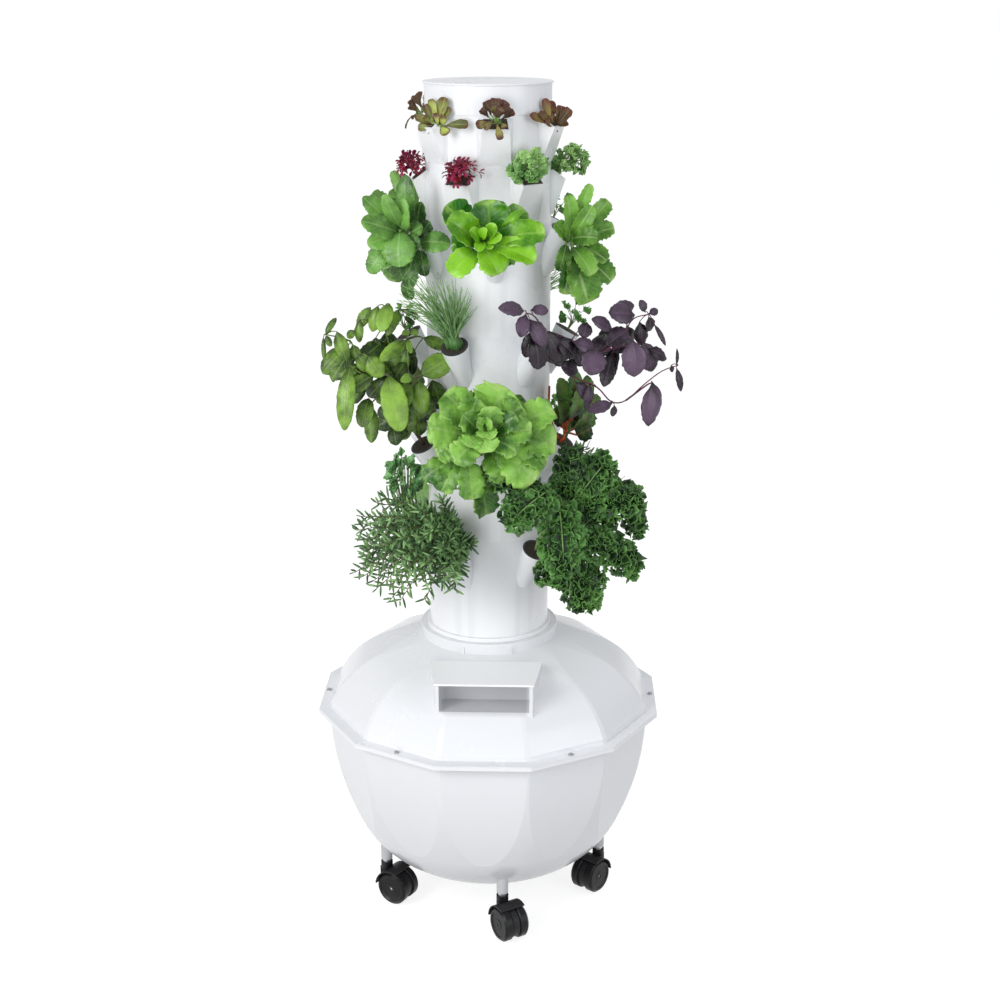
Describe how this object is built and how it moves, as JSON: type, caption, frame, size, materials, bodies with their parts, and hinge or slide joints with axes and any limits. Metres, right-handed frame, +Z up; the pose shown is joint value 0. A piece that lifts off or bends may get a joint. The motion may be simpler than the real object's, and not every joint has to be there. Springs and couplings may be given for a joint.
{
  "type": "vertical planter tower",
  "caption": "Vertical hydroponic planter tower: planted column with angled ports on a faceted water reservoir that rolls on twin-wheel casters.",
  "frame": {"origin": "on the ground on the tower's axis, midway between the casters", "axes": "+Z up along the tower; -Y is the front, with the hood; +X to the right seen from the front"},
  "size_m": [0.736, 0.736, 1.777],
  "materials": {
    "white_plastic": "smooth",
    "grey_plastic": "satin",
    "black_plastic": "satin",
    "wheel_plastic": "satin",
    "pot_plastic": "satin",
    "growing_foam": "matte",
    "steel": "brushed",
    "rubber": "matte",
    "foliage": "matte"
  },
  "bodies": {
    "root": {"baby_green_section_1": "white_plastic", "baby_green_section_2": "white_plastic", "base_ring": "white_plastic", "caster_sockets": "grey_plastic", "cord_grommet": "rubber", "grow_plugs": "growing_foam", "lid_screws": "steel", "net_pots_row_3": "pot_plastic", "net_pots_row_4": "pot_plastic", "net_pots_row_5": "pot_plastic", "net_pots_row_6": "pot_plastic", "planting_section_1": "white_plastic", "planting_section_2": "white_plastic", "planting_section_3": "white_plastic", "planting_section_4": "white_plastic", "plants_row_1": "foliage", "plants_row_2": "foliage", "plants_row_3": "foliage", "plants_row_4": "foliage", "plants_row_5": "foliage", "plants_row_6": "foliage", "pocket_soil": "growing_foam", "pump_feet": "rubber", "pump_housing": "black_plastic", "pump_strainer": "black_plastic", "reservoir_bowl": "white_plastic", "reservoir_lid": "white_plastic", "riser_coupling": "grey_plastic", "riser_pipe_lower": "grey_plastic", "riser_pipe_upper": "grey_plastic", "shower_tray": "white_plastic"},
    "access_cover_body": {"access_cover": "white_plastic"},
    "caster_1_swivel_body": {"caster_1_axle": "steel", "caster_1_housing": "black_plastic", "caster_1_stem": "steel"},
    "caster_1_wheel_left_body": {"caster_1_wheel_left": "wheel_plastic"},
    "caster_1_wheel_right_body": {"caster_1_wheel_right": "wheel_plastic"},
    "caster_2_swivel_body": {"caster_2_axle": "steel", "caster_2_housing": "black_plastic", "caster_2_stem": "steel"},
    "caster_2_wheel_left_body": {"caster_2_wheel_left": "wheel_plastic"},
    "caster_2_wheel_right_body": {"caster_2_wheel_right": "wheel_plastic"},
    "caster_3_swivel_body": {"caster_3_axle": "steel", "caster_3_housing": "black_plastic", "caster_3_stem": "steel"},
    "caster_3_wheel_left_body": {"caster_3_wheel_left": "wheel_plastic"},
    "caster_3_wheel_right_body": {"caster_3_wheel_right": "wheel_plastic"},
    "caster_4_swivel_body": {"caster_4_axle": "steel", "caster_4_housing": "black_plastic", "caster_4_stem": "steel"},
    "caster_4_wheel_left_body": {"caster_4_wheel_left": "wheel_plastic"},
    "caster_4_wheel_right_body": {"caster_4_wheel_right": "wheel_plastic"},
    "caster_5_swivel_body": {"caster_5_axle": "steel", "caster_5_housing": "black_plastic", "caster_5_stem": "steel"},
    "caster_5_wheel_left_body": {"caster_5_wheel_left": "wheel_plastic"},
    "caster_5_wheel_right_body": {"caster_5_wheel_right": "wheel_plastic"},
    "impeller_body": {"pump_impeller": "grey_plastic"},
    "top_cap_body": {"top_cap": "white_plastic"}
  },
  "joints": [
    {"name": "caster_1_swivel", "type": "hinge", "parent": "root", "child": "caster_1_swivel_body", "pos_m": [0.03681, -0.2493, 0.088], "axis": [0, 0, 1], "continuous": true},
    {"name": "caster_1_wheel_left_spin", "type": "hinge", "parent": "caster_1_swivel_body", "child": "caster_1_wheel_left_body", "pos_m": [0.05271, -0.27474, 0.0375], "axis": [0.848, 0.5299, 0], "continuous": true},
    {"name": "caster_1_wheel_right_spin", "type": "hinge", "parent": "caster_1_swivel_body", "child": "caster_1_wheel_right_body", "pos_m": [0.05271, -0.27474, 0.0375], "axis": [0.848, 0.5299, 0], "continuous": true},
    {"name": "caster_2_swivel", "type": "hinge", "parent": "root", "child": "caster_2_swivel_body", "pos_m": [0.24847, -0.04203, 0.088], "axis": [0, 0, 1], "continuous": true},
    {"name": "caster_2_wheel_left_spin", "type": "hinge", "parent": "caster_2_swivel_body", "child": "caster_2_wheel_left_body", "pos_m": [0.23, -0.06567, 0.0375], "axis": [0.788, -0.6157, 0], "continuous": true},
    {"name": "caster_2_wheel_right_spin", "type": "hinge", "parent": "caster_2_swivel_body", "child": "caster_2_wheel_right_body", "pos_m": [0.23, -0.06567, 0.0375], "axis": [0.788, -0.6157, 0], "continuous": true},
    {"name": "caster_3_swivel", "type": "hinge", "parent": "root", "child": "caster_3_swivel_body", "pos_m": [0.11675, 0.22332, 0.088], "axis": [0, 0, 1], "continuous": true},
    {"name": "caster_3_wheel_left_spin", "type": "hinge", "parent": "caster_3_swivel_body", "child": "caster_3_wheel_left_body", "pos_m": [0.13175, 0.2493, 0.0375], "axis": [-0.866, 0.5, 0], "continuous": true},
    {"name": "caster_3_wheel_right_spin", "type": "hinge", "parent": "caster_3_swivel_body", "child": "caster_3_wheel_right_body", "pos_m": [0.13175, 0.2493, 0.0375], "axis": [-0.866, 0.5, 0], "continuous": true},
    {"name": "caster_4_swivel", "type": "hinge", "parent": "root", "child": "caster_4_swivel_body", "pos_m": [-0.17631, 0.18005, 0.088], "axis": [0, 0, 1], "continuous": true},
    {"name": "caster_4_wheel_left_spin", "type": "hinge", "parent": "caster_4_swivel_body", "child": "caster_4_wheel_left_body", "pos_m": [-0.2023, 0.19505, 0.0375], "axis": [-0.5, -0.866, 0], "continuous": true},
    {"name": "caster_4_wheel_right_spin", "type": "hinge", "parent": "caster_4_swivel_body", "child": "caster_4_wheel_right_body", "pos_m": [-0.2023, 0.19505, 0.0375], "axis": [-0.5, -0.866, 0], "continuous": true},
    {"name": "caster_5_swivel", "type": "hinge", "parent": "root", "child": "caster_5_swivel_body", "pos_m": [-0.22572, -0.11205, 0.088], "axis": [0, 0, 1], "continuous": true},
    {"name": "caster_5_wheel_left_spin", "type": "hinge", "parent": "caster_5_swivel_body", "child": "caster_5_wheel_left_body", "pos_m": [-0.2, -0.1275, 0.0375], "axis": [0.515, 0.8572, 0], "continuous": true},
    {"name": "caster_5_wheel_right_spin", "type": "hinge", "parent": "caster_5_swivel_body", "child": "caster_5_wheel_right_body", "pos_m": [-0.2, -0.1275, 0.0375], "axis": [0.515, 0.8572, 0], "continuous": true},
    {"name": "access_cover_lift", "type": "slide", "parent": "root", "child": "access_cover_body", "axis": [0, 0, 1], "range_m": [0, 0.06]},
    {"name": "top_cap_lift", "type": "slide", "parent": "root", "child": "top_cap_body", "axis": [0, 0, 1], "range_m": [0, 0.08]},
    {"name": "impeller_spin", "type": "hinge", "parent": "root", "child": "impeller_body", "pos_m": [0, 0, 0.118], "axis": [0, 1, 0], "continuous": true}
  ]
}
